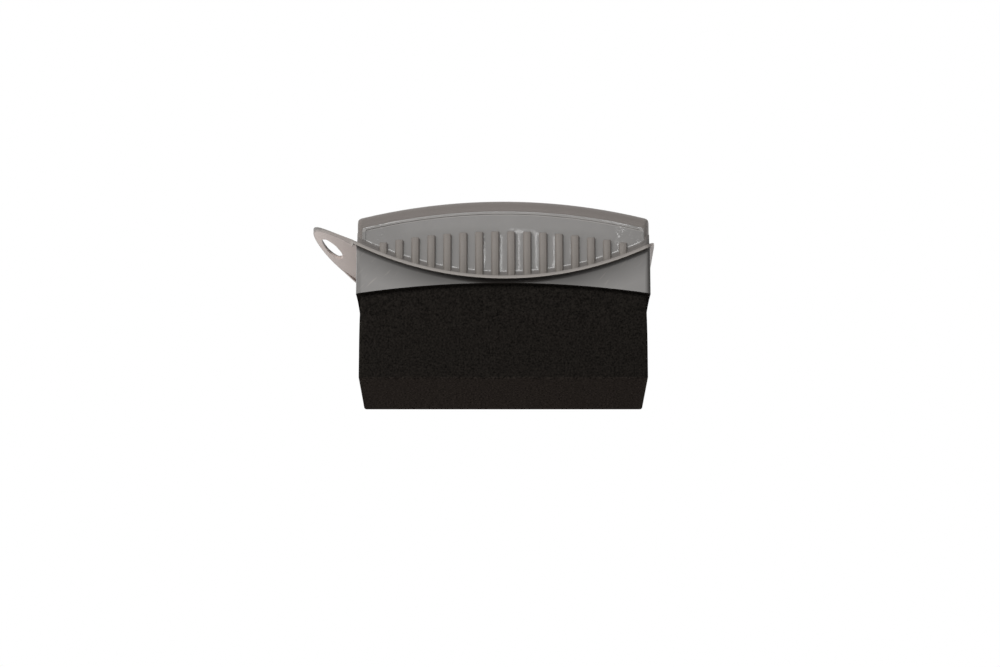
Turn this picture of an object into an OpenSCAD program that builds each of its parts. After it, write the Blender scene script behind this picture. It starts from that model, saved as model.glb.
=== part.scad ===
// Hand eraser: a foam block glued into a one-piece moulded grip with a curved guard and a hanging tongue.
// Origin: centre of the wiping face. +Z goes up to the grip, +X along the length, -Y is the front.

/* [Socket skirt] */
// Outside length of the skirt
skirt_l = 122.5; // [120:0.1:123]
// Outside depth of the skirt
skirt_d = 57.2; // [54:0.1:60]
// Wall of the skirt
skirt_wall = 1.8; // [1.2:0.1:2.4]
// Radius on the upright edges of the skirt
skirt_edge_r = 1.5; // [1:0.1:3]
// Radius in the upright corners of the socket
socket_edge_r = 0.8; // [0.4:0.1:2]
// Height of the skirt's lowest corners above the wiping face
skirt_low_z = 36.2; // [30:0.2:38]
// Rise of the skirt's lower edge in the middle of its long sides
skirt_arch_rise = 4.6; // [1:0.1:5]
// Rise of the skirt's lower edge in the middle of its ends
skirt_end_rise = 2; // [1:0.1:6]

/* [Foam block] */
// How far the free foam swells past the foam in the socket, each side
foam_swell = 0.4; // [0.1:0.05:0.8]
// Height at which the foam has its full free size
foam_full_z = 15; // [8:1:20]
// Radius on the upright edges of the foam
foam_edge_r = 1.5; // [0.5:0.1:4]
// Clearance of the foam in the socket, each side
socket_fit = 0.1; // [0.05:0.05:0.3]

/* [Guard and tongue] */
// Height of the guard's middle line at its lowest point
guard_mid_z = 42.9; // [42:0.1:46]
// How far that lowest point lies from the middle, towards the plain end
guard_cx = 0.7; // [0:0.1:2]
// Radius of the guard's upward curve along the length
guard_arc_r = 138; // [130:1:150]
// Thickness of the guard
guard_t = 1.3; // [1.2:0.1:2]
// How far the guard stands out past the skirt in front and behind
guard_brim = 1.8; // [1:0.1:4]
// How far it stands out past the skirt at the plain end
guard_lip = 1.7; // [1:0.1:3]
// Corner radius of the guard at the plain end, seen from above
guard_corner_r = 4; // [2:0.5:6]
// Reach of the tongue's tip from the middle of the eraser
tongue_reach = 81; // [78:0.5:84]
// Radius of the tongue's own upward curve
tongue_arc_r = 84; // [65:1:100]
// Size of the hanging hole from front to back
hole_l = 20; // [14:0.5:24]
// Size of the hanging hole along the tongue, seen from above
hole_w = 9; // [7:0.25:10]
// Radius of the hanging hole's two narrow ends
hole_end_r = 2.8; // [2:0.1:3.2]
// Gap between the hanging hole and the tongue's tip, seen from above
hole_margin = 3.7; // [3:0.1:6]
// Depth of the two beads under the tongue's root
bead_h = 1.2; // [0.6:0.1:1.6]
// Length of those beads along the tongue
bead_l = 6.5; // [4:0.5:9]
// Width of those beads
bead_w = 2; // [1.2:0.1:3]

/* [Grip] */
// Length of the grip
grip_l = 122.7; // [121:0.1:123.5]
// Thickness of the grip, front to back
grip_d = 37.2; // [34:0.1:40]
// Height of the top of the grip above the wiping face
grip_top_z = 80.8; // [78:0.2:86]
// Radius of the arched top
arch_r = 245; // [220:5:300]
// Rounding along the top edges
top_round = 5.5; // [4:0.25:7]
// Rounding of the two top corners in the front view
corner_round = 4; // [3:0.25:6]
// Rounding on the upright edges of the grip
grip_edge_r = 3; // [2.5:0.25:4]
// Wall of the grip
grip_wall = 2; // [1.4:0.1:2.4]
// Radius of the hollow where the grip runs out into the guard
cove_r = 6.4; // [4:0.1:7]

/* [Panel and ribs] */
// Depth of the smooth panel below the face of the grip
panel_depth = 0.1; // [0.05:0.05:0.6]
// Width of the raised rim round the panel
rim_w = 1.1; // [0.6:0.1:2]
// Height of the rim above the face of the grip
rim_h = 0.25; // [0.1:0.05:0.6]
// Gap between the rim and the rounded top edge
frame_top = 0.3; // [0.1:0.1:4]
// Gap between the rim and each end of the grip
frame_end = 2.3; // [2:0.1:5]
// Rounding of the rim's top corners
rim_corner_r = 2; // [1.5:0.25:6]
// Number of finger ribs on each side
rib_count = 16; // [10:1:17]
// Distance between rib centres
rib_pitch = 6.71; // [6:0.01:6.8]
// Width of a rib across its front
rib_front_w = 2.5; // [1.5:0.1:3]
// Width of a rib at the panel
rib_foot_w = 3.6; // [3:0.1:4.2]
// Height of a rib above the panel
rib_h = 1.3; // [0.6:0.1:2]
// Height of the tallest rib tops above the wiping face
rib_top_z = 65.9; // [62:0.2:68]
// Radius of the arc that the rib tops follow
rib_arc_r = 262; // [220:2:300]
// Rounding of a rib's top corners
rib_round = 0.9; // [0.3:0.1:1]

/* [Inside] */
// Number of cross webs in the hollow grip
web_count = 5; // [3:1:6]
// Distance between the webs
web_pitch = 20; // [12:1:22]
// Thickness of a web
web_t = 1.4; // [1:0.1:2]
// Thickness of the glue between the shoulders and the foam
glue_t = 0.4; // [0.2:0.05:0.8]
// Gap between each glue strip and the side of the foam
glue_edge = 2; // [1:0.1:3]
// Length of each glue strip, seen from above
glue_l = 104; // [60:2:110]

/* [Hidden] */
$fn = 256;

// Overlap that lets joined shapes fuse, and sink of a rounding into the faces it joins
over = 0.5;
sink = 0.05;

// How far a cutter reaches past what it cuts, and the angle by which an arc runs past its end
past = 20;
past_a = 2;

// Guard arc: its centre is straight above its lowest point
guard_cz = guard_mid_z + guard_arc_r;
guard_top_r = guard_arc_r - guard_t / 2;
guard_low_r = guard_arc_r + guard_t / 2;
guard_l = skirt_l + 2 * guard_lip;
guard_d = skirt_d + 2 * guard_brim;
guard_end_a = asin((guard_l / 2 + guard_cx) / guard_arc_r) + past_a;

// Tongue: past the grip it leaves the guard along its tangent, with its root sunk into the guard's end.
// Seen from above, its outline is one arc from the guard's corners round the tip.
bend_x = grip_l / 2 + over;
bend_a = asin((bend_x + guard_cx) / guard_arc_r);
root_x = guard_l / 2;
tongue_cx = guard_cx - (guard_arc_r - tongue_arc_r) * sin(bend_a);
tongue_cz = guard_cz - (guard_arc_r - tongue_arc_r) * cos(bend_a);
tongue_t = guard_t - 2 * sink;
tongue_low_r = tongue_arc_r + tongue_t / 2;
tongue_lap_a = asin(over / tongue_arc_r);
tongue_tip_a = asin((tongue_reach + tongue_cx) / tongue_arc_r) + past_a;
tongue_l = tongue_reach - root_x;
tongue_plan_r = (pow(guard_d / 2, 2) + pow(tongue_l, 2)) / (2 * tongue_l);
tongue_plan_cx = tongue_plan_r - tongue_reach;
function tongue_under_z(x) = tongue_cz - sqrt(pow(tongue_low_r, 2) - pow(x - tongue_cx, 2));

// Hanging hole: an oval of four arcs
hole_cx = hole_margin + hole_w / 2 - tongue_reach;
hole_reach = hole_l / 2 - hole_end_r;
hole_side_r = (pow(hole_w / 2, 2) + pow(hole_reach, 2) - pow(hole_end_r, 2)) / (hole_w - 2 * hole_end_r);
hole_side_cx = hole_side_r - hole_w / 2;

// Lower edge of the skirt: one arc over the long sides, another over the ends
skirt_arch_r = (pow(skirt_l / 2, 2) + pow(skirt_arch_rise, 2)) / (2 * skirt_arch_rise);
skirt_end_r = (pow(skirt_d / 2, 2) + pow(skirt_end_rise, 2)) / (2 * skirt_end_rise);

// Socket and foam: the plug fits the socket, and the free part swells to its full size below it
socket_l = skirt_l - 2 * skirt_wall;
socket_d = skirt_d - 2 * skirt_wall;
plug_l = socket_l - 2 * socket_fit;
plug_d = socket_d - 2 * socket_fit;
foam_l = plug_l + 2 * foam_swell;
foam_d = plug_d + 2 * foam_swell;
foam_top_r = guard_low_r + glue_t;

// Grip: the arch centre, the panel plane and the arc of the rim's outside
arch_cz = grip_top_z - arch_r;
arch_half_a = asin(grip_l / 2 / arch_r) + past_a;
arch_deep = 2 * (grip_top_z - guard_mid_z);
panel_y = grip_d / 2 - panel_depth;
rim_arc_r = arch_r - top_round - frame_top;
rib_arc_cz = rib_top_z - rib_arc_r;

// Flat shapes

// Rectangle about the origin with round corners
module round_rect(l, d, r) {
    square([l - 2 * r, d], center = true);
    square([l, d - 2 * r], center = true);
    for (sx = [-1, 1], sy = [-1, 1])
        translate([sx * (l / 2 - r), sy * (d / 2 - r)])
            circle(r);
}

// Front outline under an arch about the origin: flat foot, upright ends, round top corners
module arch_outline(half_l, r, corner, foot) {
    cx = half_l - corner;
    cy = sqrt(pow(r - corner, 2) - cx * cx);
    intersection() {
        circle(r);
        polygon([[0, 0], [-2 * cx, 2 * cy], [2 * cx, 2 * cy]]);
    }
    translate([-half_l, foot])
        square([2 * half_l, cy - foot]);
    for (side = [-1, 1])
        translate([side * cx, cy])
            circle(corner);
}

// Hanging hole seen from above, about its own middle
module hole_outline() {
    intersection() {
        translate([-hole_side_cx, 0])
            circle(hole_side_r);
        translate([hole_side_cx, 0])
            circle(hole_side_r);
        square([hole_w + past, 2 * hole_reach], center = true);
    }
    for (end = [-1, 1])
        translate([0, end * hole_reach])
            circle(hole_end_r + sink);
}

// Guard and tongue seen from above
module guard_outline() {
    intersection() {
        round_rect(guard_l, guard_d, guard_corner_r);
        translate([tongue_plan_cx, -guard_d])
            square([guard_l, 2 * guard_d]);
    }
    intersection() {
        translate([tongue_plan_cx, 0])
            circle(tongue_plan_r);
        translate([-tongue_reach - past, -guard_d / 2])
            square([tongue_reach + past, guard_d]);
    }
}

// Outline of the free foam of length l seen from one side, upright below and drawn in towards the socket
module swell_outline(l) {
    neck = l / 2 - foam_swell;
    polygon([
        [-l / 2, 0],
        [l / 2, 0],
        [l / 2, foam_full_z],
        [neck, skirt_low_z],
        [-neck, skirt_low_z],
        [-l / 2, foam_full_z],
    ]);
}

// Solid shapes

// Turns a front outline in X and Z into a slab of depth d about the middle plane
module slab(d) {
    rotate([90, 0, 0])
        linear_extrude(d, center = true)
            children();
}

// Cylinder about an axis at x and z that runs from front to back
module cross_cylinder(r, x, z) {
    translate([x, 0, z])
        slab(guard_d + past)
            circle(r);
}

// Curved plate about an axis that runs from front to back, between two angles from straight down
module arc_plate(cx, cz, r, t, from, to) {
    d = guard_d + past;
    translate([cx, 0, cz])
        rotate([90, 0, 0])
            rotate([0, 0, from - 90])
                rotate_extrude(angle = to - from)
                    translate([r - t / 2, -d / 2])
                        square([t, d]);
}

// Guard

// Two beads along the tongue's front and back edges that run out into its underside
module tongue_beads() {
    root_z = tongue_under_z(-root_x);
    end_x = -root_x - bead_l;
    intersection() {
        slab(guard_d + past)
            polygon([
                [over - root_x, root_z + over / 2],
                [over - root_x, root_z - bead_h],
                [-root_x, root_z - bead_h],
                [end_x, tongue_under_z(end_x)],
                [end_x, tongue_under_z(end_x) + over],
            ]);
        linear_extrude(grip_top_z)
            translate([tongue_plan_cx, 0])
                difference() {
                    circle(tongue_plan_r + past);
                    circle(tongue_plan_r - bead_w);
                }
    }
}

// The curved plate round the eraser, which runs out at one end into the tongue with its hanging hole
module guard() {
    intersection() {
        union() {
            arc_plate(guard_cx, guard_cz, guard_arc_r, guard_t, -bend_a, guard_end_a);
            difference() {
                arc_plate(tongue_cx, tongue_cz, tongue_arc_r, tongue_t, -tongue_tip_a, tongue_lap_a - bend_a);
                translate([hole_cx, 0, 0])
                    linear_extrude(grip_top_z)
                        hole_outline();
            }
            tongue_beads();
        }
        linear_extrude(grip_top_z)
            guard_outline();
    }
}

// Skirt

// The outside of the socket, up to the middle of the guard, with its arched lower edges
module skirt_block() {
    difference() {
        translate([0, 0, skirt_low_z - past])
            linear_extrude(grip_top_z)
                round_rect(skirt_l, skirt_d, skirt_edge_r);
        cross_cylinder(guard_arc_r, guard_cx, guard_cz);
        cross_cylinder(skirt_arch_r, 0, skirt_low_z + skirt_arch_rise - skirt_arch_r);
        translate([0, 0, skirt_low_z + skirt_end_rise - skirt_end_r])
            rotate([0, 90, 0])
                cylinder(r = skirt_end_r, h = skirt_l + past, center = true);
    }
}

// The space for the foam, below the guard
module socket_space() {
    difference() {
        linear_extrude(grip_top_z)
            round_rect(socket_l, socket_d, socket_edge_r);
        cross_cylinder(guard_low_r, guard_cx, guard_cz);
    }
}

// Grip

// Arched body with round top edges, set in from the outside of the grip
module arch_body(inset) {
    half_l = grip_l / 2 - inset;
    half_d = grip_d / 2 - inset;
    r = arch_r - inset;
    edge = top_round - inset;
    intersection() {
        translate([0, 0, arch_cz])
            rotate([90, 0, 0])
                rotate([0, 0, 90 - arch_half_a])
                    rotate_extrude(angle = 2 * arch_half_a) {
                        translate([r - arch_deep, -half_d])
                            square([arch_deep - edge, 2 * half_d]);
                        translate([r - arch_deep, edge - half_d])
                            square([arch_deep, 2 * (half_d - edge)]);
                        for (side = [-1, 1])
                            translate([r - edge, side * (half_d - edge)])
                                circle(edge);
                    }
        translate([0, 0, arch_cz])
            slab(grip_d + past)
                arch_outline(half_l, r, corner_round - inset, -arch_cz);
        linear_extrude(grip_top_z + past)
            round_rect(2 * half_l, 2 * half_d, grip_edge_r - inset);
    }
}

// The hollows that carry the front and back of the grip out into the guard
module coves() {
    intersection() {
        translate([guard_cx, 0, guard_cz])
            rotate([90, 0, 0])
                rotate([0, 0, -90 - guard_end_a])
                    rotate_extrude(angle = 2 * guard_end_a)
                        for (side = [0, 1])
                            mirror([0, side])
                                difference() {
                                    translate([guard_top_r - cove_r, panel_y - over])
                                        square([cove_r + guard_t / 2, cove_r + over]);
                                    translate([guard_top_r - cove_r + sink, panel_y + cove_r - sink])
                                        circle(cove_r);
                                }
        linear_extrude(grip_top_z)
            square([grip_l, guard_d], center = true);
    }
}

// One finger rib on the front, standing on the guard and round at its top corners
module rib(x) {
    top = rib_arc_cz + sqrt(pow(rib_arc_r, 2) - x * x);
    foot = guard_cz - sqrt(pow(guard_top_r, 2) - pow(x - guard_cx, 2)) + over;
    root_w = rib_foot_w + (rib_foot_w - rib_front_w) * over / rib_h;
    intersection() {
        translate([x, -panel_y])
            linear_extrude(grip_top_z)
                polygon([
                    [-root_w / 2, over],
                    [-rib_front_w / 2, -rib_h],
                    [rib_front_w / 2, -rib_h],
                    [root_w / 2, over],
                ]);
        translate([x, 0])
            slab(grip_d + past) {
                translate([-root_w / 2, foot])
                    square([root_w, top - rib_round - foot]);
                translate([rib_round - root_w / 2, foot])
                    square([root_w - 2 * rib_round, top - foot]);
                for (side = [-1, 1])
                    translate([side * (root_w / 2 - rib_round), top - rib_round])
                        circle(rib_round, $fn = 72);
            }
    }
}

// A pad from one depth to another in front of the grip, set in from the outside of the rim
module panel_pad(inset, from_y, to_y) {
    translate([0, -(from_y + to_y) / 2, arch_cz])
        slab(to_y - from_y)
            arch_outline(grip_l / 2 - frame_end - inset, rim_arc_r - inset, rim_corner_r - inset, -arch_cz);
}

// The outside of the grip: rimmed panels, coves and ribs, down to the middle of the guard
module grip_block() {
    intersection() {
        difference() {
            union() {
                arch_body(0);
                for (side = [0, 1])
                    mirror([0, side, 0])
                        panel_pad(0, panel_y - over, grip_d / 2 + rim_h);
            }
            for (side = [0, 1])
                mirror([0, side, 0])
                    panel_pad(rim_w, panel_y, grip_d);
        }
        cross_cylinder(guard_arc_r, guard_cx, guard_cz);
    }
    coves();
    for (i = [0 : rib_count - 1], side = [0, 1])
        mirror([0, side, 0])
            rib((i - (rib_count - 1) / 2) * rib_pitch);
}

// The hollow inside the grip, open to the socket
module grip_space() {
    intersection() {
        arch_body(grip_wall);
        cross_cylinder(guard_low_r + over, guard_cx, guard_cz);
    }
}

// Cross webs that stiffen the hollow grip and meet the top of the foam
module webs() {
    intersection() {
        for (i = [0 : web_count - 1])
            translate([(i - (web_count - 1) / 2) * web_pitch, 0, grip_top_z / 2])
                cube([web_t, grip_d - grip_wall, grip_top_z], center = true);
        arch_body(grip_wall / 2);
        cross_cylinder(foam_top_r, guard_cx, guard_cz);
    }
}

// Sub-parts

// One moulding: guard and tongue, skirt, ribbed grip and its inner webs
module grip_shell() {
    color("#86837f") {
        difference() {
            union() {
                guard();
                skirt_block();
                grip_block();
            }
            socket_space();
            grip_space();
        }
        webs();
    }
}

// Foam: a plug cut to the guard's arc, above a free block that is slightly larger than the socket
module foam_block() {
    color("#1b1917")
        difference() {
            union() {
                intersection() {
                    linear_extrude(skirt_low_z)
                        round_rect(foam_l, foam_d, foam_edge_r);
                    slab(foam_d + past)
                        swell_outline(foam_l);
                    rotate([0, 0, 90])
                        slab(foam_l + past)
                            swell_outline(foam_d);
                }
                translate([0, 0, foam_full_z])
                    linear_extrude(grip_top_z - foam_full_z)
                        round_rect(plug_l, plug_d, socket_edge_r);
            }
            cross_cylinder(foam_top_r, guard_cx, guard_cz);
        }
}

// Two strips of glue between the foam and the shoulders of the grip
module glue_strips() {
    strip_r = guard_low_r + glue_t / 2;
    strip_w = plug_d / 2 - glue_edge - grip_d / 2;
    color("#cfc6a8")
        for (side = [0, 1])
            mirror([0, side, 0])
                intersection() {
                    arc_plate(guard_cx, guard_cz, strip_r, glue_t, -guard_end_a, guard_end_a);
                    translate([-glue_l / 2, grip_d / 2, 0])
                        linear_extrude(grip_top_z)
                            square([glue_l, strip_w]);
                }
}

grip_shell();
foam_block();
glue_strips();
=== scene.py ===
"""Looks of a foam hand eraser: grey moulded grip with finger ribs, black foam block, plain studio."""
import math
from types import SimpleNamespace

import bpy
import numpy as np
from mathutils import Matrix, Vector


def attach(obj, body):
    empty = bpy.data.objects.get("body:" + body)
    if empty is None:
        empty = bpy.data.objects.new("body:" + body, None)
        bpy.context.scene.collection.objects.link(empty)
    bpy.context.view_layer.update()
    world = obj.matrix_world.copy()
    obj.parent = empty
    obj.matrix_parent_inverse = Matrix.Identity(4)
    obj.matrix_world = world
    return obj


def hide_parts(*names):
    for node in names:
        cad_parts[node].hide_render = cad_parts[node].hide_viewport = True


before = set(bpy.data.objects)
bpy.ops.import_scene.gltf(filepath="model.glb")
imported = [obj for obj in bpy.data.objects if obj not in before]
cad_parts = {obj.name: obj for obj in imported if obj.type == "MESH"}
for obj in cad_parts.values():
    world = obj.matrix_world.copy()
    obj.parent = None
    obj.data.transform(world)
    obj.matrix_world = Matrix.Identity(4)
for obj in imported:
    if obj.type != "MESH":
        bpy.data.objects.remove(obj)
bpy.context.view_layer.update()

MM = 0.001

# Grip, as in the part's source: guard, arched body, rimmed panel, skirt with its lower edge's arcs, tongue
GUARD_CX = 0.7 * MM
GUARD_CZ = 180.9 * MM
GUARD_TOP_R = 137.35 * MM
GUARD_UNDER_R = 138.65 * MM
GUARD_HALF_D = 30.4 * MM
GUARD_END_X = 62.95 * MM
ARCH_CZ = -164.2 * MM
PANEL_Y = 18.5 * MM
RIM_Y = 18.85 * MM
RIM_HALF_L = 59.05 * MM
RIM_ARC_R = 239.2 * MM
RIM_W = 1.1 * MM
COVE_R = 6.4 * MM
SKIRT_HALF_L = 61.25 * MM
SKIRT_HALF_D = 28.6 * MM
LONG_EDGE_CZ = -369.28 * MM
LONG_EDGE_R = 410.08 * MM
END_EDGE_CZ = -167.29 * MM
END_EDGE_R = 205.49 * MM
TONGUE_ROOT_X = -62.95 * MM
TONGUE_TIP_X = -81 * MM
TONGUE_PLAN_CX = -46.37 * MM
TONGUE_PLAN_R = 34.63 * MM

# Finger ribs
RIB_COUNT = 16
RIB_PITCH = 6.71 * MM
RIB_FRONT_W = 2.5 * MM
RIB_FOOT_W = 3.6 * MM
RIB_H = 1.3 * MM
RIB_TOP_Z = 65.9 * MM
RIB_ARC_R = 262 * MM
RIB_SKIN = 0.1 * MM
RIB_SOFT_EDGE = 0.45 * MM

# Painted light and shade on the grip's edges and corners. HAIR is how far a mask reaches past the face that
# it marks
HAIR = 0.1 * MM
RIM_LIFT_HALF_W = 0.45 * MM
LIP_LIGHT_W = 0.5 * MM
PLAIN_END_LIGHT_W = 0.4 * MM
TONGUE_EDGE_SHADE_W = 0.6 * MM
GRIP_CORNER_W = 2.5 * MM
GRIP_END_W = 1.6 * MM
TONGUE_END_LIGHT = 1.35
PLAIN_END_DARK = 0.4

# Painted shade in the hollow above the guard: where it ends and where it is full, up from the guard and out
# from the panel
SHADE_TOP = 0.81 * COVE_R
SHADE_FULL_TOP = 0.76 * COVE_R
SHADE_OUT = 1.2 * COVE_R
SHADE_FULL_OUT = 0.8 * COVE_R

# Painted shade on the skirt: a thick band under the brim, a veil below it and darker upright corners
BAND_MID_X = 8 * MM
BAND_END_X = 50 * MM
BAND_MID_H = 3.8 * MM
BAND_END_H = 2.5 * MM
BAND_MID = 0.97
BAND_END = 0.67
BAND_CORE = 0.3
VEIL_MID_X = 30 * MM
VEIL_END_X = 56 * MM
VEIL_H = 11 * MM
VEIL_MID = 0.72
VEIL_END = 0.4
CORNER_W = 2.5 * MM
CORNER_CORE = 0.5 * MM
TONGUE_END_SHADE = 0.4
PLAIN_END_SHADE = 0.85

# Surface of the grip. The spark grain of some 0.05 mm is drawn at 0.5 mm so that it shows
GRAIN = 0.5 * MM
GRAIN_TONE = 0.1
FLOW_MARK = 7 * MM
FLOW_TONE = 0.05
SCUFF_W = 0.7 * MM
SCUFF_L = 9 * MM
SCUFF_TURN = math.radians(40)
SCUFF_FROM = 0.66
SCUFF_FULL = 0.78
RELIEF = 0.09 * MM
SINK = -0.14
SINK_ABOVE = 1 * MM
SINK_FULL_BELOW = 2 * MM
WAVE = 5 * MM
WAVE_MID = 0.2
WAVE_END = 4.5
WAVE_MID_X = 47 * MM
WAVE_END_X = 55 * MM
WIPED_X = 40 * MM
WIPED_ABOVE = 1.5 * MM
WIPED_FULL_ABOVE = 3 * MM
RIM_LEAN_W = 0.4 * MM
RIM_LEAN = 0.65
EDGE_R = 0.15 * MM
MATT = 0.5
POLISH = 0.05
WIPED_POLISH = 0.25
UNSHADED_SHEEN = 0.5

# Foam block
FOAM_TOP_R = 139.05 * MM
FOAM_HALF_L = 59.75 * MM
FOAM_HALF_D = 27.1 * MM
FOAM_SWELL = 0.4 * MM
FOAM_CLEARANCE = 0.05 * MM
FOAM_FULL_Z = 15 * MM
FOAM_NECK_Z = 36.2 * MM
FOAM_EDGE_R = 1.1 * MM
FOAM_EDGE_STEPS = 4
FOAM_STEP = 1.3 * MM

# Surface of the foam. The cells of 0.5 mm are drawn at 0.8 mm so that they show
CELL = 0.8 * MM
CLUMP = 2.5 * MM
CLUMP_SHARE = 0.15
CELL_PIT = 0.32
CELL_WALL = 0.68
PIT_DEPTH = 0.35 * MM
PALE_FACE_ABOVE = 1.2 * MM
PALE_FACE_FULL = 0.1 * MM

# Glue
RIDGE = 2 * MM
RIDGE_H = 0.2 * MM

# Camera of the photograph: 15 degrees below the horizon, straight in front
VIEW_TARGET = Vector((-1.37 * MM, -27 * MM, 19.5 * MM))
VIEW_ELEVATION = math.radians(-15)
VIEW_DISTANCE = 1250 * MM
PIXELS_PER_METRE = 2415
IMAGE_WIDTH = 1000
SENSOR_WIDTH = 36

# Studio: name, azimuth and elevation in degrees, then sizes in metres and level, or level and target
LAMP_TARGET = (0, -0.02, 0.05)
LAMP_DISTANCE = 1.25
SOFTBOX_H = 0.55
SOFTBOXES = (("front_softbox", -36, 22, 1.2, 5.6),
             ("back_left_softbox", -135, 15, 0.9, 5.0),
             ("back_right_softbox", 135, 15, 0.9, 5.0))
MIRRORED_LAMPS = (("strip_softbox", -5, 34, 1.1, 0.15, 6.0),
                  ("small_window", 0.8, 16.5, 0.008, 0.055, 9.0))
REFLECTORS = (("left_reflector", -75, -40, 0.55, (-0.072, 0, 0.063)),
              ("right_reflector", 108, -15, 0.75, (0.062, 0, 0.053)))
REFLECTOR_W = 0.5
REFLECTOR_H = 0.4
REFLECTOR_DISTANCE = 0.6
REFLECTOR_SPREAD = math.radians(60)
TABLE_REACH = 3.0
HORIZON = 0.3
FILL_BELOW = 0.3
FILL_ABOVE = 0.35


def linear(hex_colour):
    """Linear RGBA of an sRGB hex colour."""
    channels = [int(hex_colour[i:i + 2], 16) / 255 for i in (1, 3, 5)]
    return [c / 12.92 if c <= 0.04045 else ((c + 0.055) / 1.055) ** 2.4 for c in channels] + [1]


def node(tree, kind, inputs=None, **settings):
    """Adds a node with its settings; an input is a value to set, or an output or a node to link.

    A node stands for the first of its outputs that is in use. Inputs go by name or number: in Mix 0 is the
    factor, 2 and 3 are numbers, 6 and 7 colours; Map Range turns 1 to 2 into 3 to 4, or into 0 to 1.
    """
    made = tree.nodes.new(kind)
    for name, value in settings.items():
        setattr(made, name, value)
    for key, source in (inputs or {}).items():
        if isinstance(source, bpy.types.Node):
            source = next(output for output in source.outputs if output.enabled)
        if isinstance(source, bpy.types.NodeSocket):
            tree.links.new(source, made.inputs[key])
        else:
            made.inputs[key].default_value = source
    return made


def empty_material(name):
    """A new material and its empty node tree."""
    material = bpy.data.materials.new(name)
    material.use_nodes = True
    material.node_tree.nodes.clear()
    return material, material.node_tree


def add_piece(name, mesh):
    """An object at the origin for a finished mesh."""
    piece = bpy.data.objects.new(name, mesh)
    bpy.context.scene.collection.objects.link(piece)
    return piece


# Material of the grip, in steps

def grip_places(tree):
    """Where a point of the grip is: its coordinates, and its distance from the middle of each arc."""
    place = node(tree, "ShaderNodeTexCoord").outputs["Object"]
    away = node(tree, "ShaderNodeVectorMath", {0: place}, operation="ABSOLUTE")
    half = node(tree, "ShaderNodeSeparateXYZ", {0: away}).outputs
    x = node(tree, "ShaderNodeSeparateXYZ", {0: place}).outputs["X"]
    at = SimpleNamespace(place=place, x=x, half_x=half["X"], half_y=half["Y"])
    front, side, plan = (1, 0, 1), (0, 1, 1), (1, 1, 0)
    for name, view, middle in (("arch_r", front, (0, 0, ARCH_CZ)),
                               ("guard_r", front, (GUARD_CX, 0, GUARD_CZ)),
                               ("rib_r", front, (0, 0, RIB_TOP_Z - RIB_ARC_R)),
                               ("long_edge_r", front, (0, 0, LONG_EDGE_CZ)),
                               ("end_edge_r", side, (0, 0, END_EDGE_CZ)),
                               ("tongue_r", plan, (TONGUE_PLAN_CX, 0, 0))):
        flat = node(tree, "ShaderNodeVectorMath", {0: place, 1: view}, operation="MULTIPLY")
        radius = node(tree, "ShaderNodeVectorMath", {0: flat, 1: middle}, operation="DISTANCE")
        setattr(at, name, radius)
    return at


def finish_zones(tree, at):
    """Masks of the polished faces, of the painted light under the rim's step and of the plate beyond the
    body.
    """
    # Polished panel: up and out to the rim's outer edge, down to the guard
    below_top = node(tree, "ShaderNodeMath", {0: at.arch_r, 1: RIM_ARC_R}, operation="LESS_THAN")
    between_ends = node(tree, "ShaderNodeMath", {0: at.half_x, 1: RIM_HALF_L + 2 * HAIR},
                        operation="LESS_THAN")
    behind_ribs = node(tree, "ShaderNodeMath", {0: at.half_y, 1: RIM_Y + HAIR}, operation="LESS_THAN")
    over_guard = node(tree, "ShaderNodeMath", {0: at.guard_r, 1: GUARD_TOP_R}, operation="LESS_THAN")
    face = node(tree, "ShaderNodeMath", {0: below_top, 1: between_ends}, operation="MULTIPLY")
    inset = node(tree, "ShaderNodeMath", {0: behind_ribs, 1: over_guard}, operation="MULTIPLY")
    panel = node(tree, "ShaderNodeMath", {0: face, 1: inset}, operation="MULTIPLY")

    # Polished skirt: under the guard, without the tongue
    under_guard = node(tree, "ShaderNodeMath", {0: at.guard_r, 1: GUARD_UNDER_R + HAIR},
                       operation="GREATER_THAN")
    on_body = node(tree, "ShaderNodeMath", {0: at.half_x, 1: SKIRT_HALF_L + HAIR}, operation="LESS_THAN")
    past_body = node(tree, "ShaderNodeMath", {0: at.half_x, 1: SKIRT_HALF_L + HAIR},
                     operation="GREATER_THAN")
    skirt = node(tree, "ShaderNodeMath", {0: under_guard, 1: on_body}, operation="MULTIPLY")
    polished = node(tree, "ShaderNodeMath", {0: panel, 1: skirt}, operation="MAXIMUM")

    # Painted light along the rim's lower edge: a pale line that lifts the shade under the rim's step
    under_arc = node(tree, "ShaderNodeMath", {0: at.arch_r, 1: RIM_ARC_R - RIM_W - HAIR, 2: RIM_LIFT_HALF_W},
                     operation="COMPARE")
    rim_step_lift = node(tree, "ShaderNodeMath", {0: under_arc, 1: panel}, operation="MULTIPLY")
    return SimpleNamespace(panel=panel, skirt=skirt, polished=polished, over_guard=over_guard,
                           on_body=on_body, past_body=past_body, rim_step_lift=rim_step_lift)


def lip_light_and_tongue_edge_shade(tree, at, zone):
    """Masks of the guard's lip, painted paler along its long edges and plain end, and of the tongue's edge,
    painted darker.
    """
    long_edge = node(tree, "ShaderNodeMapRange", {0: at.half_y, 1: GUARD_HALF_D - LIP_LIGHT_W, 2: GUARD_HALF_D})
    plain_end = node(tree, "ShaderNodeMapRange", {0: at.x, 1: GUARD_END_X - PLAIN_END_LIGHT_W, 2: GUARD_END_X})
    lip = node(tree, "ShaderNodeMath", {0: long_edge, 1: plain_end}, operation="MAXIMUM")
    # Painted shade along the tongue's outer edge
    by_edge = node(tree, "ShaderNodeMapRange", {0: at.tongue_r, 1: TONGUE_PLAN_R - TONGUE_EDGE_SHADE_W,
                                                2: TONGUE_PLAN_R})
    tongue_edge_shade = node(tree, "ShaderNodeMath", {0: by_edge, 1: zone.past_body}, operation="MULTIPLY")
    return lip, tongue_edge_shade


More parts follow.
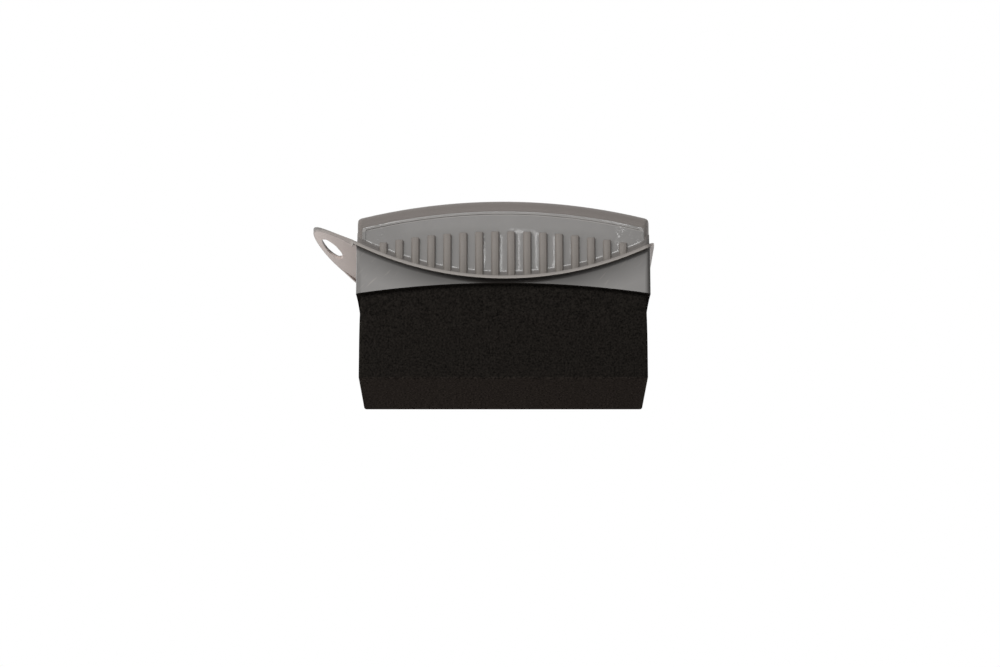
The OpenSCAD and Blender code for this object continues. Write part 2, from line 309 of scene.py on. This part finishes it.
def hollow_painted_shade(tree, at, zone):
    """Mask of the painted shade in the hollow: from the guard up to just below where the panel starts to
    turn.
    """
    low = node(tree, "ShaderNodeMapRange", {0: at.guard_r, 1: GUARD_TOP_R - SHADE_TOP,
                                            2: GUARD_TOP_R - SHADE_FULL_TOP})
    on_cove = node(tree, "ShaderNodeMapRange", {0: at.half_y, 1: PANEL_Y + SHADE_OUT,
                                                2: PANEL_Y + SHADE_FULL_OUT})
    cove_dark = node(tree, "ShaderNodeMath", {0: low, 1: on_cove}, operation="MULTIPLY")
    return node(tree, "ShaderNodeMath", {0: cove_dark, 1: zone.over_guard}, operation="MULTIPLY")


def skirt_painted_shade(tree, at, zone):
    """Mask of the painted shade under the guard's brim, on the skirt's upright corners and on its lower edge.
    """
    # Painted shade under the brim: a thick band, and a veil that thins out down the skirt
    low_face = node(tree, "ShaderNodeMath", {0: at.guard_r, 1: GUARD_UNDER_R - HAIR / 2},
                    operation="GREATER_THAN")
    below = node(tree, "ShaderNodeMath", {0: at.guard_r, 1: GUARD_UNDER_R}, operation="SUBTRACT")
    band = node(tree, "ShaderNodeMapRange", {0: at.half_x, 1: BAND_MID_X, 2: BAND_END_X,
                                             3: BAND_MID_H, 4: BAND_END_H})
    share = node(tree, "ShaderNodeMath", {0: below, 1: band}, operation="DIVIDE")
    core = node(tree, "ShaderNodeMapRange", {0: share, 1: 1.0, 2: BAND_CORE}, interpolation_type="SMOOTHSTEP")
    amount = node(tree, "ShaderNodeMapRange", {0: at.half_x, 1: BAND_MID_X, 2: BAND_END_X,
                                               3: BAND_MID, 4: BAND_END})
    thick = node(tree, "ShaderNodeMath", {0: core, 1: amount}, operation="MULTIPLY")
    fading = node(tree, "ShaderNodeMapRange", {0: below, 1: VEIL_H, 2: 0.0})
    veil = node(tree, "ShaderNodeMapRange", {0: at.half_x, 1: VEIL_MID_X, 2: VEIL_END_X,
                                             3: VEIL_MID, 4: VEIL_END})
    haze = node(tree, "ShaderNodeMath", {0: fading, 1: veil}, operation="MULTIPLY")

    # Painted shade on the upright corners, more at the plain end
    by_end = node(tree, "ShaderNodeMapRange", {0: at.half_x, 1: SKIRT_HALF_L - CORNER_W,
                                               2: SKIRT_HALF_L - CORNER_CORE})
    end_shading = node(tree, "ShaderNodeMapRange", {0: at.x, 1: -SKIRT_HALF_L, 2: SKIRT_HALF_L,
                                                3: TONGUE_END_SHADE, 4: PLAIN_END_SHADE})
    end_shade = node(tree, "ShaderNodeMath", {0: by_end, 1: end_shading}, operation="MULTIPLY")
    by_front = node(tree, "ShaderNodeMapRange", {0: at.half_y, 1: SKIRT_HALF_D - CORNER_W,
                                                 2: SKIRT_HALF_D - CORNER_CORE})
    corner = node(tree, "ShaderNodeMath", {0: end_shade, 1: by_front}, operation="MULTIPLY")
    thin = node(tree, "ShaderNodeMath", {0: haze, 1: corner}, operation="MAXIMUM")
    either = node(tree, "ShaderNodeMath", {0: thick, 1: thin}, operation="MAXIMUM")
    brim_and_corner_shade = node(tree, "ShaderNodeMath", {0: low_face, 1: either}, operation="MULTIPLY")

    # Painted shade on the lower edge: the faces on its two arcs
    on_long = node(tree, "ShaderNodeMath", {0: at.long_edge_r, 1: LONG_EDGE_R + HAIR}, operation="LESS_THAN")
    on_end = node(tree, "ShaderNodeMath", {0: at.end_edge_r, 1: END_EDGE_R + HAIR}, operation="LESS_THAN")
    lower_edge = node(tree, "ShaderNodeMath", {0: on_long, 1: on_end}, operation="MAXIMUM")
    whole_skirt_shade = node(tree, "ShaderNodeMath", {0: brim_and_corner_shade, 1: lower_edge}, operation="MAXIMUM")
    return node(tree, "ShaderNodeMath", {0: whole_skirt_shade, 1: zone.on_body}, operation="MULTIPLY")


def skirt_scuffs(tree, at, zone):
    """Mask of fine slanting scuffs on the skirt."""
    along = node(tree, "ShaderNodeMapping", {"Vector": at.place, "Rotation": (0, SCUFF_TURN, 0),
                                             "Scale": (SCUFF_W, SCUFF_L, SCUFF_L)}, vector_type="TEXTURE")
    scuff = node(tree, "ShaderNodeTexNoise", {"Vector": along, "Scale": 1.0, "Detail": 1})
    scuffed = node(tree, "ShaderNodeMapRange", {0: scuff, 1: SCUFF_FROM, 2: SCUFF_FULL})
    return node(tree, "ShaderNodeMath", {0: scuffed, 1: zone.skirt}, operation="MULTIPLY")


def grip_tone(tree, at, zone, grain):
    """How much paler or darker the plastic is in places: flow marks, spark grain, and painted light and shade
    on the upright corners.
    """
    flow = node(tree, "ShaderNodeTexNoise", {"Vector": at.place, "Scale": 1 / FLOW_MARK, "Detail": 3})
    mottle = node(tree, "ShaderNodeMapRange", {0: flow, 3: 1 - FLOW_TONE, 4: 1 + FLOW_TONE})
    speckle = node(tree, "ShaderNodeMapRange", {0: grain, 3: 1 - GRAIN_TONE, 4: 1 + GRAIN_TONE})
    spark_grain = node(tree, "ShaderNodeMix", {0: zone.polished, 2: speckle, 3: 1.0})
    moulded = node(tree, "ShaderNodeMath", {0: mottle, 1: spark_grain}, operation="MULTIPLY")

    # Upright corners of the grip: painted light at the tongue's end, painted shade at the plain end
    by_end = node(tree, "ShaderNodeMapRange", {0: at.half_x, 1: RIM_HALF_L + 2 * HAIR,
                                               2: RIM_HALF_L + GRIP_END_W})
    by_front = node(tree, "ShaderNodeMapRange", {0: at.half_y, 1: PANEL_Y - GRIP_CORNER_W,
                                                 2: PANEL_Y - CORNER_CORE})
    corner = node(tree, "ShaderNodeMath", {0: by_end, 1: by_front}, operation="MULTIPLY")
    above = node(tree, "ShaderNodeMath", {0: corner, 1: zone.over_guard}, operation="MULTIPLY")
    shade = node(tree, "ShaderNodeMapRange", {0: at.x, 1: -RIM_HALF_L, 2: RIM_HALF_L,
                                              3: TONGUE_END_LIGHT, 4: PLAIN_END_DARK})
    corner_light_and_shade = node(tree, "ShaderNodeMix", {0: above, 2: 1.0, 3: shade})
    return node(tree, "ShaderNodeMath", {0: moulded, 1: corner_light_and_shade}, operation="MULTIPLY")


def grip_colour(tree, at, zone, hollow, skirt_shade, grain):
    """Colour of the grip: the two finishes, the polished one with a painted reflection, then what covers them
    in turn, painted light and shade among them, then the tone over everything.
    """
    lip, tongue_edge_shade = lip_light_and_tongue_edge_shade(tree, at, zone)
    # Painted light: the plate beyond the body is painted paler than the plastic elsewhere, and paler still
    # towards the tongue's tip
    on_tongue = node(tree, "ShaderNodeMapRange", {0: at.x, 1: TONGUE_ROOT_X, 2: TONGUE_TIP_X})
    sheet_painted_light = node(tree, "ShaderNodeMix", {0: on_tongue, 6: linear("#978a84"), 7: linear("#b0a49e")},
                 data_type="RGBA")
    # Painted light: the lip is painted paler, most on its underside, where the light from below falls
    down_lip = node(tree, "ShaderNodeMapRange", {0: at.guard_r, 1: GUARD_TOP_R, 2: GUARD_UNDER_R})
    lit_lip = node(tree, "ShaderNodeMix", {0: down_lip, 6: linear("#7b7672"), 7: linear("#938e89")},
                  data_type="RGBA")
    # Painted reflection: the polished faces are painted paler and cooler than the matt ones of the same
    # plastic
    colour = node(tree, "ShaderNodeMix", {0: zone.polished, 6: linear("#69635f"), 7: linear("#807e7c")},
                  data_type="RGBA")
    for cover, look in ((zone.rim_step_lift, linear("#94918e")), (zone.past_body, sheet_painted_light),
                        (tongue_edge_shade, linear("#7d7672")), (lip, lit_lip),
                        (skirt_scuffs(tree, at, zone), linear("#8f8b87")),
                        # Painted shade in the hollow above the guard and on the skirt
                        (hollow, linear("#5f5b58")), (skirt_shade, linear("#1f1c1a"))):
        colour = node(tree, "ShaderNodeMix", {0: cover, 6: colour, 7: look}, data_type="RGBA")
    tone = grip_tone(tree, at, zone, grain)
    return node(tree, "ShaderNodeMix", {0: 1.0, 6: colour, 7: tone}, data_type="RGBA", blend_type="MULTIPLY")


def grip_roughness(tree, at, zone, hollow):
    """Matt or polished; the panel is wiped duller above the ribs, apart from its ends."""
    gloss = node(tree, "ShaderNodeMath", {0: zone.polished, 1: hollow}, operation="SUBTRACT", use_clamp=True)
    over_ribs = node(tree, "ShaderNodeMapRange", {0: at.rib_r, 1: RIB_ARC_R + WIPED_ABOVE,
                                                  2: RIB_ARC_R + WIPED_FULL_ABOVE})
    mid_length = node(tree, "ShaderNodeMapRange", {0: at.half_x, 1: WAVE_MID_X, 2: WIPED_X})
    wiped = node(tree, "ShaderNodeMath", {0: over_ribs, 1: mid_length}, operation="MULTIPLY")
    polish = node(tree, "ShaderNodeMapRange", {0: wiped, 3: POLISH, 4: WIPED_POLISH})
    return node(tree, "ShaderNodeMix", {0: gloss, 2: MATT, 3: polish})


def grip_relief(tree, at, zone, grain):
    """Height of the skin: spark grain where it is matt, shallow waves where the panel is polished."""
    # Sink between the ribs and slow waves in the polished skin, stronger by the panel's ends
    across = node(tree, "ShaderNodeMath", {0: at.x, 1: 2 * math.pi / RIB_PITCH}, operation="MULTIPLY")
    sink = node(tree, "ShaderNodeMath", {0: across}, operation="COSINE")
    among_ribs = node(tree, "ShaderNodeMapRange", {0: at.rib_r, 1: RIB_ARC_R + SINK_ABOVE,
                                                   2: RIB_ARC_R - SINK_FULL_BELOW, 3: 0.0, 4: SINK},
                      interpolation_type="SMOOTHSTEP")
    sink_depth = node(tree, "ShaderNodeMath", {0: sink, 1: among_ribs}, operation="MULTIPLY")
    wave = node(tree, "ShaderNodeTexNoise", {"Vector": at.place, "Scale": 1 / WAVE, "Detail": 2})
    near_end = node(tree, "ShaderNodeMapRange", {0: at.half_x, 1: WAVE_MID_X, 2: WAVE_END_X,
                                                 3: WAVE_MID, 4: WAVE_END})
    wave_depth = node(tree, "ShaderNodeMath", {0: wave, 1: near_end}, operation="MULTIPLY")
    uneven = node(tree, "ShaderNodeMath", {0: sink_depth, 1: wave_depth}, operation="ADD")

    # The rim's upper edge leans back by 8 degrees and catches the strip of light
    lean = node(tree, "ShaderNodeMapRange", {0: at.arch_r, 1: RIM_ARC_R - RIM_LEAN_W, 2: RIM_ARC_R,
                                             3: 0.0, 4: RIM_LEAN})
    wavy = node(tree, "ShaderNodeMath", {0: uneven, 1: lean}, operation="SUBTRACT")
    smooth = node(tree, "ShaderNodeMath", {0: wavy, 1: zone.panel}, operation="MULTIPLY")
    return node(tree, "ShaderNodeMix", {0: zone.polished, 2: grain, 3: smooth})


def moulded_polystyrene():
    """Grey polystyrene from one tool with two finishes.

    The panel and the skirt were polished: they mirror the lights in slightly wavy streaks.
    Rounded edges, top, guard and tongue were spark eroded: a fine even grain with no reflections.
    The guard's lip and the plate beyond the body are painted paler as painted light; the tongue's edge, the
    hollow above the guard and the skirt carry painted shade.
    """
    material, tree = empty_material("moulded_grey_polystyrene")
    at = grip_places(tree)
    zone = finish_zones(tree, at)
    hollow = hollow_painted_shade(tree, at, zone)
    skirt_shade = skirt_painted_shade(tree, at, zone)
    grain = node(tree, "ShaderNodeTexNoise", {"Vector": at.place, "Scale": 1 / GRAIN, "Detail": 2})
    edges = node(tree, "ShaderNodeBevel", {"Radius": EDGE_R}, samples=4)
    skin = node(tree, "ShaderNodeBump", {"Height": grip_relief(tree, at, zone, grain), "Strength": 1.0,
                                         "Distance": RELIEF, "Normal": edges})
    # The specular level falls to nothing under the painted shade on the skirt
    sheen = node(tree, "ShaderNodeMapRange", {0: skirt_shade, 3: UNSHADED_SHEEN, 4: 0.0})
    shader = node(tree, "ShaderNodeBsdfPrincipled", {
        "Base Color": grip_colour(tree, at, zone, hollow, skirt_shade, grain),
        "Roughness": grip_roughness(tree, at, zone, hollow),
        "Normal": skin, "IOR": 1.5, "Specular IOR Level": sheen})
    node(tree, "ShaderNodeOutputMaterial", {0: shader})
    return material


# Other materials

def spark_eroded_polystyrene():
    """The same polystyrene on the ribs, which is neither polished nor painted with light or shade: matt with
    a fine even grain.
    """
    material, tree = empty_material("spark_eroded_polystyrene")
    place = node(tree, "ShaderNodeTexCoord").outputs["Object"]
    grain = node(tree, "ShaderNodeTexNoise", {"Vector": place, "Scale": 1 / GRAIN, "Detail": 2})
    colour = node(tree, "ShaderNodeMix", {0: grain, 6: linear("#706b66"), 7: linear("#7f7974")},
                  data_type="RGBA")
    skin = node(tree, "ShaderNodeBump", {"Height": grain, "Strength": 1.0, "Distance": RELIEF})
    shader = node(tree, "ShaderNodeBsdfPrincipled", {"Base Color": colour, "Roughness": MATT, "Normal": skin})
    node(tree, "ShaderNodeOutputMaterial", {0: shader})
    return material


def open_cell_foam():
    """Black polyether foam, cut with a blade: fine open cells, so dark pits and dull grey walls, no gloss.

    The wiping face is painted a little paler: painted light on the face that the light from below falls on.
    """
    material, tree = empty_material("black_open_cell_foam")
    place = node(tree, "ShaderNodeTexCoord").outputs["Object"]
    height = node(tree, "ShaderNodeSeparateXYZ", {0: place}).outputs["Z"]
    cells = node(tree, "ShaderNodeTexNoise", {"Vector": place, "Scale": 1 / CELL, "Detail": 2,
                                              "Roughness": 0.7})
    clumps = node(tree, "ShaderNodeTexNoise", {"Vector": place, "Scale": 1 / CLUMP, "Detail": 2})
    walls = node(tree, "ShaderNodeMix", {0: CLUMP_SHARE, 2: cells, 3: clumps})
    depth = node(tree, "ShaderNodeMapRange", {0: walls, 1: CELL_PIT, 2: CELL_WALL})
    cut = node(tree, "ShaderNodeMix", {0: depth, 6: linear("#0c0b0a"), 7: linear("#262320")},
               data_type="RGBA")
    lit_face_colour = node(tree, "ShaderNodeMix", {0: depth, 6: linear("#090706"), 7: linear("#3b3531")},
                 data_type="RGBA")
    face = node(tree, "ShaderNodeMapRange", {0: height, 1: PALE_FACE_ABOVE, 2: PALE_FACE_FULL})
    colour = node(tree, "ShaderNodeMix", {0: face, 6: cut, 7: lit_face_colour}, data_type="RGBA")
    pits = node(tree, "ShaderNodeBump", {"Height": walls, "Strength": 0.6, "Distance": PIT_DEPTH})
    shader = node(tree, "ShaderNodeBsdfPrincipled", {"Base Color": colour, "Roughness": 1.0, "Normal": pits,
                                                     "Specular IOR Level": 0.0})
    node(tree, "ShaderNodeOutputMaterial", {0: shader})
    return material


def dried_glue():
    """Contact glue: cream coloured, uneven and slightly shiny where it dried in ridges."""
    material, tree = empty_material("dried_contact_glue")
    place = node(tree, "ShaderNodeTexCoord").outputs["Object"]
    ridges = node(tree, "ShaderNodeTexNoise", {"Vector": place, "Scale": 1 / RIDGE, "Detail": 3})
    colour = node(tree, "ShaderNodeMix", {0: ridges, 6: linear("#b7ab86"), 7: linear("#dcd3b4")},
                  data_type="RGBA")
    skin = node(tree, "ShaderNodeBump", {"Height": ridges, "Strength": 0.4, "Distance": RIDGE_H})
    shader = node(tree, "ShaderNodeBsdfPrincipled", {"Base Color": colour, "Roughness": 0.4, "Normal": skin})
    node(tree, "ShaderNodeOutputMaterial", {0: shader})
    return material


def pale_table_top():
    """Matt white laminate, pale also where the lamps don't reach, and clear from below for a low camera."""
    material, tree = empty_material("pale_table_top")
    below = node(tree, "ShaderNodeNewGeometry").outputs["Backfacing"]
    matt = node(tree, "ShaderNodeBsdfDiffuse", {"Color": linear("#b4b3b1")})
    pale = node(tree, "ShaderNodeEmission", {"Color": linear("#b4b3b1")})
    top = node(tree, "ShaderNodeAddShader", {0: matt, 1: pale})
    clear = node(tree, "ShaderNodeBsdfTransparent")
    shader = node(tree, "ShaderNodeMixShader", {0: below, 1: top, 2: clear})
    node(tree, "ShaderNodeOutputMaterial", {0: shader})
    return material


# Finger ribs

def rib_tree(material):
    """Geometry Nodes: a row of tapered bars on the front panel between two arcs, and the same row behind."""
    tree = bpy.data.node_groups.new("finger_rib_row", "GeometryNodeTree")
    sizes = {"Pitch": RIB_PITCH, "Front Width": RIB_FRONT_W + 2 * RIB_SKIN,
             "Foot Width": RIB_FOOT_W + 2 * RIB_SKIN, "Height": RIB_H + RIB_SKIN, "Panel": PANEL_Y,
             "Top": RIB_TOP_Z + RIB_SKIN, "Top Arc": RIB_ARC_R,
             "Guard Middle": GUARD_CX, "Guard Centre": GUARD_CZ, "Guard Radius": GUARD_TOP_R}
    count = tree.interface.new_socket("Count", in_out="INPUT", socket_type="NodeSocketInt")
    count.default_value = RIB_COUNT
    for name, length in sizes.items():
        tree.interface.new_socket(name, in_out="INPUT", socket_type="NodeSocketFloat").default_value = length
    tree.interface.new_socket("Ribs", in_out="OUTPUT", socket_type="NodeSocketGeometry")
    size = node(tree, "NodeGroupInput").outputs

    # Rib centres: the row starts half its length to the left of the middle
    steps = node(tree, "ShaderNodeMath", {0: size["Count"], 1: 1.0}, operation="SUBTRACT")
    row = node(tree, "ShaderNodeMath", {0: steps, 1: size["Pitch"]}, operation="MULTIPLY")
    start_x = node(tree, "ShaderNodeMath", {0: row, 1: -0.5}, operation="MULTIPLY")
    start = node(tree, "ShaderNodeCombineXYZ", {"X": start_x})
    step = node(tree, "ShaderNodeCombineXYZ", {"X": size["Pitch"]})
    centres = node(tree, "GeometryNodeMeshLine", {"Count": size["Count"], "Start Location": start,
                                                  "Offset": step})
    kept = node(tree, "GeometryNodeCaptureAttribute", {"Geometry": centres}, domain="POINT")
    kept.capture_items.new("VECTOR", "Centre")
    centre = node(tree, "GeometryNodeInputPosition")
    tree.links.new(centre.outputs[0], kept.inputs["Centre"])

    # One bar of unit height, whose front is narrower than its foot
    bar_size = node(tree, "ShaderNodeCombineXYZ", {"X": 1.0, "Y": size["Height"], "Z": 1.0})
    bar = node(tree, "GeometryNodeMeshCube", {"Size": bar_size})
    at = node(tree, "GeometryNodeInputPosition")
    corner = node(tree, "ShaderNodeSeparateXYZ", {0: at}).outputs
    in_front = node(tree, "ShaderNodeMath", {0: corner["Y"], 1: 0.0}, operation="LESS_THAN")
    width = node(tree, "ShaderNodeMix", {0: in_front, 2: size["Foot Width"], 3: size["Front Width"]})
    corner_x = node(tree, "ShaderNodeMath", {0: corner["X"], 1: width}, operation="MULTIPLY")
    half_h = node(tree, "ShaderNodeMath", {0: size["Height"], 1: 0.5}, operation="MULTIPLY")
    stand = node(tree, "ShaderNodeMath", {0: size["Panel"], 1: half_h}, operation="ADD")
    corner_y = node(tree, "ShaderNodeMath", {0: corner["Y"], 1: stand}, operation="SUBTRACT")
    tapered = node(tree, "ShaderNodeCombineXYZ", {"X": corner_x, "Y": corner_y, "Z": corner["Z"]})
    blank = node(tree, "GeometryNodeSetPosition", {"Geometry": bar, "Position": tapered})
    bars = node(tree, "GeometryNodeInstanceOnPoints", {"Points": kept.outputs["Geometry"], "Instance": blank})
    loose = node(tree, "GeometryNodeRealizeInstances", {"Geometry": bars})

    # Each bar's ends follow the two arcs at the height of its own centre
    rib_x = node(tree, "ShaderNodeSeparateXYZ", {0: kept.outputs["Centre"]}).outputs["X"]
    x2 = node(tree, "ShaderNodeMath", {0: rib_x, 1: rib_x}, operation="MULTIPLY")
    top_r2 = node(tree, "ShaderNodeMath", {0: size["Top Arc"], 1: size["Top Arc"]}, operation="MULTIPLY")
    top_rise2 = node(tree, "ShaderNodeMath", {0: top_r2, 1: x2}, operation="SUBTRACT")
    top_rise = node(tree, "ShaderNodeMath", {0: top_rise2}, operation="SQRT")
    top_centre = node(tree, "ShaderNodeMath", {0: size["Top"], 1: size["Top Arc"]}, operation="SUBTRACT")
    top_z = node(tree, "ShaderNodeMath", {0: top_centre, 1: top_rise}, operation="ADD")
    from_low = node(tree, "ShaderNodeMath", {0: rib_x, 1: size["Guard Middle"]}, operation="SUBTRACT")
    low2 = node(tree, "ShaderNodeMath", {0: from_low, 1: from_low}, operation="MULTIPLY")
    foot_r2 = node(tree, "ShaderNodeMath", {0: size["Guard Radius"], 1: size["Guard Radius"]},
                   operation="MULTIPLY")
    foot_drop2 = node(tree, "ShaderNodeMath", {0: foot_r2, 1: low2}, operation="SUBTRACT")
    foot_drop = node(tree, "ShaderNodeMath", {0: foot_drop2}, operation="SQRT")
    foot_z = node(tree, "ShaderNodeMath", {0: size["Guard Centre"], 1: foot_drop}, operation="SUBTRACT")
    point = node(tree, "GeometryNodeInputPosition")
    where = node(tree, "ShaderNodeSeparateXYZ", {0: point}).outputs
    is_top = node(tree, "ShaderNodeMath", {0: where["Z"], 1: 0.0}, operation="GREATER_THAN")
    end_z = node(tree, "ShaderNodeMix", {0: is_top, 2: foot_z, 3: top_z})
    to_arc = node(tree, "ShaderNodeCombineXYZ", {"X": where["X"], "Y": where["Y"], "Z": end_z})
    front = node(tree, "GeometryNodeSetPosition", {"Geometry": loose, "Position": to_arc})
    mirrored = node(tree, "GeometryNodeTransform", {"Geometry": front, "Scale": (1, -1, 1)})
    back = node(tree, "GeometryNodeFlipFaces", {0: mirrored})
    both = node(tree, "GeometryNodeJoinGeometry", {0: front})
    tree.links.new(back.outputs[0], both.inputs[0])
    whole = node(tree, "GeometryNodeRealizeInstances", {"Geometry": both})
    painted = node(tree, "GeometryNodeSetMaterial", {"Geometry": whole, "Material": material})
    node(tree, "NodeGroupOutput", {0: painted})
    return tree


def make_ribs(material):
    """The finger ribs with soft edges, a skin over the ribs of the moulding."""
    raw = add_piece("rib_row", bpy.data.meshes.new("rib_row"))
    rows = raw.modifiers.new("rows", "NODES")
    rows.node_group = rib_tree(material)
    soft = raw.modifiers.new("soft_edges", "BEVEL")
    soft.width = RIB_SOFT_EDGE
    soft.segments = 3
    soft.limit_method = "ANGLE"
    soft.harden_normals = True
    mesh = bpy.data.meshes.new_from_object(raw.evaluated_get(bpy.context.evaluated_depsgraph_get()))
    bpy.data.objects.remove(raw)
    mesh.name = "finger_ribs"
    mesh.shade_smooth()
    ribs = add_piece("finger_ribs", mesh)
    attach(ribs, "root")


# Foam

def edge_steps(half, radius, step):
    """Places across a face, dense in the rounded edges and even between them."""
    inner = half - radius
    middle = np.linspace(-inner, inner, max(2, round(2 * inner / step)) + 1)
    turn = radius * np.sin(np.linspace(0, math.pi / 2, FOAM_EDGE_STEPS + 1)[1:])
    return np.concatenate([-inner - turn[::-1], middle, inner + turn])


def foam_top(x):
    """Height of the foam under the guard's arc."""
    return GUARD_CZ - np.sqrt(FOAM_TOP_R ** 2 - (x - GUARD_CX) ** 2)


def block_grid(xs, ys, zs):
    """Vertices and quads of a closed box whose faces carry these grid lines."""
    index, points, quads = {}, [], []

    def corner(i, j, k):
        if (i, j, k) not in index:
            index[i, j, k] = len(points)
            points.append((xs[i], ys[j], zs[k]))
        return index[i, j, k]

    def quad(*corners):
        quads.append([corner(*place) for place in corners])

    nx, ny, nz = len(xs) - 1, len(ys) - 1, len(zs) - 1
    for i in range(nx):
        for j in range(ny):
            quad((i, j, 0), (i, j + 1, 0), (i + 1, j + 1, 0), (i + 1, j, 0))
            quad((i, j, nz), (i + 1, j, nz), (i + 1, j + 1, nz), (i, j + 1, nz))
    for i in range(nx):
        for k in range(nz):
            quad((i, 0, k), (i + 1, 0, k), (i + 1, 0, k + 1), (i, 0, k + 1))
            quad((i, ny, k), (i, ny, k + 1), (i + 1, ny, k + 1), (i + 1, ny, k))
    for j in range(ny):
        for k in range(nz):
            quad((0, j, k), (0, j, k + 1), (0, j + 1, k + 1), (0, j + 1, k))
            quad((nx, j, k), (nx, j + 1, k), (nx, j + 1, k + 1), (nx, j, k + 1))
    return np.array(points), quads


def make_foam():
    """The foam block: rounded edges, sides drawn in towards the socket, top cut to the guard's arc."""
    plug_l = FOAM_HALF_L - FOAM_SWELL
    half = np.array([FOAM_HALF_L, FOAM_HALF_D, foam_top(-plug_l) / 2])
    lines = [edge_steps(h, FOAM_EDGE_R, FOAM_STEP) for h in half]
    points, quads = block_grid(*lines)
    core = np.clip(points, FOAM_EDGE_R - half, half - FOAM_EDGE_R)
    out = points - core
    points = core + FOAM_EDGE_R * out / np.linalg.norm(out, axis=1, keepdims=True)
    height = (points[:, 2] + half[2]) / (2 * half[2])
    points[:, 2] = height * foam_top(np.clip(points[:, 0], -plug_l, plug_l))
    up_neck = np.clip((points[:, 2] - FOAM_FULL_Z) / (FOAM_NECK_Z - FOAM_FULL_Z), 0, 1)
    drawn = up_neck ** 2 * (FOAM_SWELL + FOAM_CLEARANCE)
    points[:, 0] *= 1 - drawn / FOAM_HALF_L
    points[:, 1] *= 1 - drawn / FOAM_HALF_D
    mesh = bpy.data.meshes.new("wiping_foam")
    mesh.from_pydata(points.tolist(), [], quads)
    mesh.shade_smooth()
    mesh.materials.append(open_cell_foam())
    foam = add_piece("wiping_foam", mesh)
    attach(foam, "root")
    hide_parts("foam_block")


# Studio

def aim(thing, place, target):
    """Puts a lamp or camera somewhere, looking at a point."""
    thing.location = place
    thing.rotation_euler = (Vector(target) - Vector(place)).to_track_quat("-Z", "Y").to_euler()


def make_camera():
    """The photograph's camera."""
    camera = bpy.data.objects.new("camera", bpy.data.cameras.new("camera"))
    bpy.context.scene.collection.objects.link(camera)
    camera.data.sensor_width = SENSOR_WIDTH
    camera.data.lens = PIXELS_PER_METRE * VIEW_DISTANCE / IMAGE_WIDTH * SENSOR_WIDTH
    away = Vector((0, -math.cos(VIEW_ELEVATION), math.sin(VIEW_ELEVATION)))
    aim(camera, VIEW_TARGET + VIEW_DISTANCE * away, VIEW_TARGET)
    bpy.context.scene.camera = camera


def softbox(name, azimuth, elevation, width, height, level, target=LAMP_TARGET, distance=LAMP_DISTANCE):
    """A flat lamp that the camera doesn't see; level is its brightness beside a white wall's 1."""
    lamp = bpy.data.lights.new(name, "AREA")
    lamp.shape = "RECTANGLE"
    lamp.size = width
    lamp.size_y = height
    lamp.energy = level * math.pi * width * height
    thing = bpy.data.objects.new(name, lamp)
    bpy.context.scene.collection.objects.link(thing)
    thing.visible_camera = False
    turn, rise = math.radians(azimuth), math.radians(elevation)
    away = Vector((math.sin(turn) * math.cos(rise), -math.cos(turn) * math.cos(rise), math.sin(rise)))
    aim(thing, Vector(target) + distance * away, target)
    return thing


def make_lamps():
    """Large softboxes with no reflection, two lamps that the grip mirrors, a low white card at each end."""
    for name, azimuth, elevation, width, level in SOFTBOXES:
        softbox(name, azimuth, elevation, width, SOFTBOX_H, level).visible_glossy = False
    for lamp in MIRRORED_LAMPS:
        softbox(*lamp)
    for name, azimuth, elevation, level, target in REFLECTORS:
        card = softbox(name, azimuth, elevation, REFLECTOR_W, REFLECTOR_H, level, target, REFLECTOR_DISTANCE)
        card.data.spread = REFLECTOR_SPREAD


def make_table():
    """The table top at the wiping face, which sends no light to the object."""
    reach = TABLE_REACH
    corners = [(-reach, -reach, 0), (reach, -reach, 0), (reach, reach, 0), (-reach, reach, 0)]
    top = bpy.data.meshes.new("table_top")
    top.from_pydata(corners, [], [(0, 1, 2, 3)])
    top.materials.append(pale_table_top())
    table = add_piece("table_top", top)
    for ray in ("diffuse", "glossy", "transmission", "shadow"):
        setattr(table, f"visible_{ray}", False)


def make_surround():
    """White to the camera and in reflections, a soft fill otherwise, a little stronger from above."""
    world = bpy.data.worlds.new("white_surround")
    bpy.context.scene.world = world
    world.use_nodes = True
    tree = world.node_tree
    tree.nodes.clear()
    rays = node(tree, "ShaderNodeLightPath").outputs
    mirrored = node(tree, "ShaderNodeMath", {0: rays["Is Glossy Ray"], 1: rays["Is Transmission Ray"]},
                    operation="MAXIMUM")
    seen = node(tree, "ShaderNodeMath", {0: rays["Is Camera Ray"], 1: mirrored}, operation="MAXIMUM")
    direction = node(tree, "ShaderNodeTexCoord").outputs["Generated"]
    up = node(tree, "ShaderNodeSeparateXYZ", {0: direction}).outputs["Z"]
    fill = node(tree, "ShaderNodeMapRange", {0: up, 1: -HORIZON, 2: HORIZON, 3: FILL_BELOW, 4: FILL_ABOVE})
    strength = node(tree, "ShaderNodeMix", {0: seen, 2: fill, 3: 1.0})
    white = node(tree, "ShaderNodeBackground", {"Color": (1, 1, 1, 1), "Strength": strength})
    node(tree, "ShaderNodeOutputWorld", {0: white})
    bpy.context.scene.view_settings.view_transform = "Standard"


make_camera()
make_foam()
for name, material in (("grip_shell", moulded_polystyrene()), ("glue_strips", dried_glue())):
    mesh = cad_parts[name].data
    mesh.materials.clear()
    mesh.materials.append(material)
make_ribs(spark_eroded_polystyrene())
make_lamps()
make_table()
make_surround()
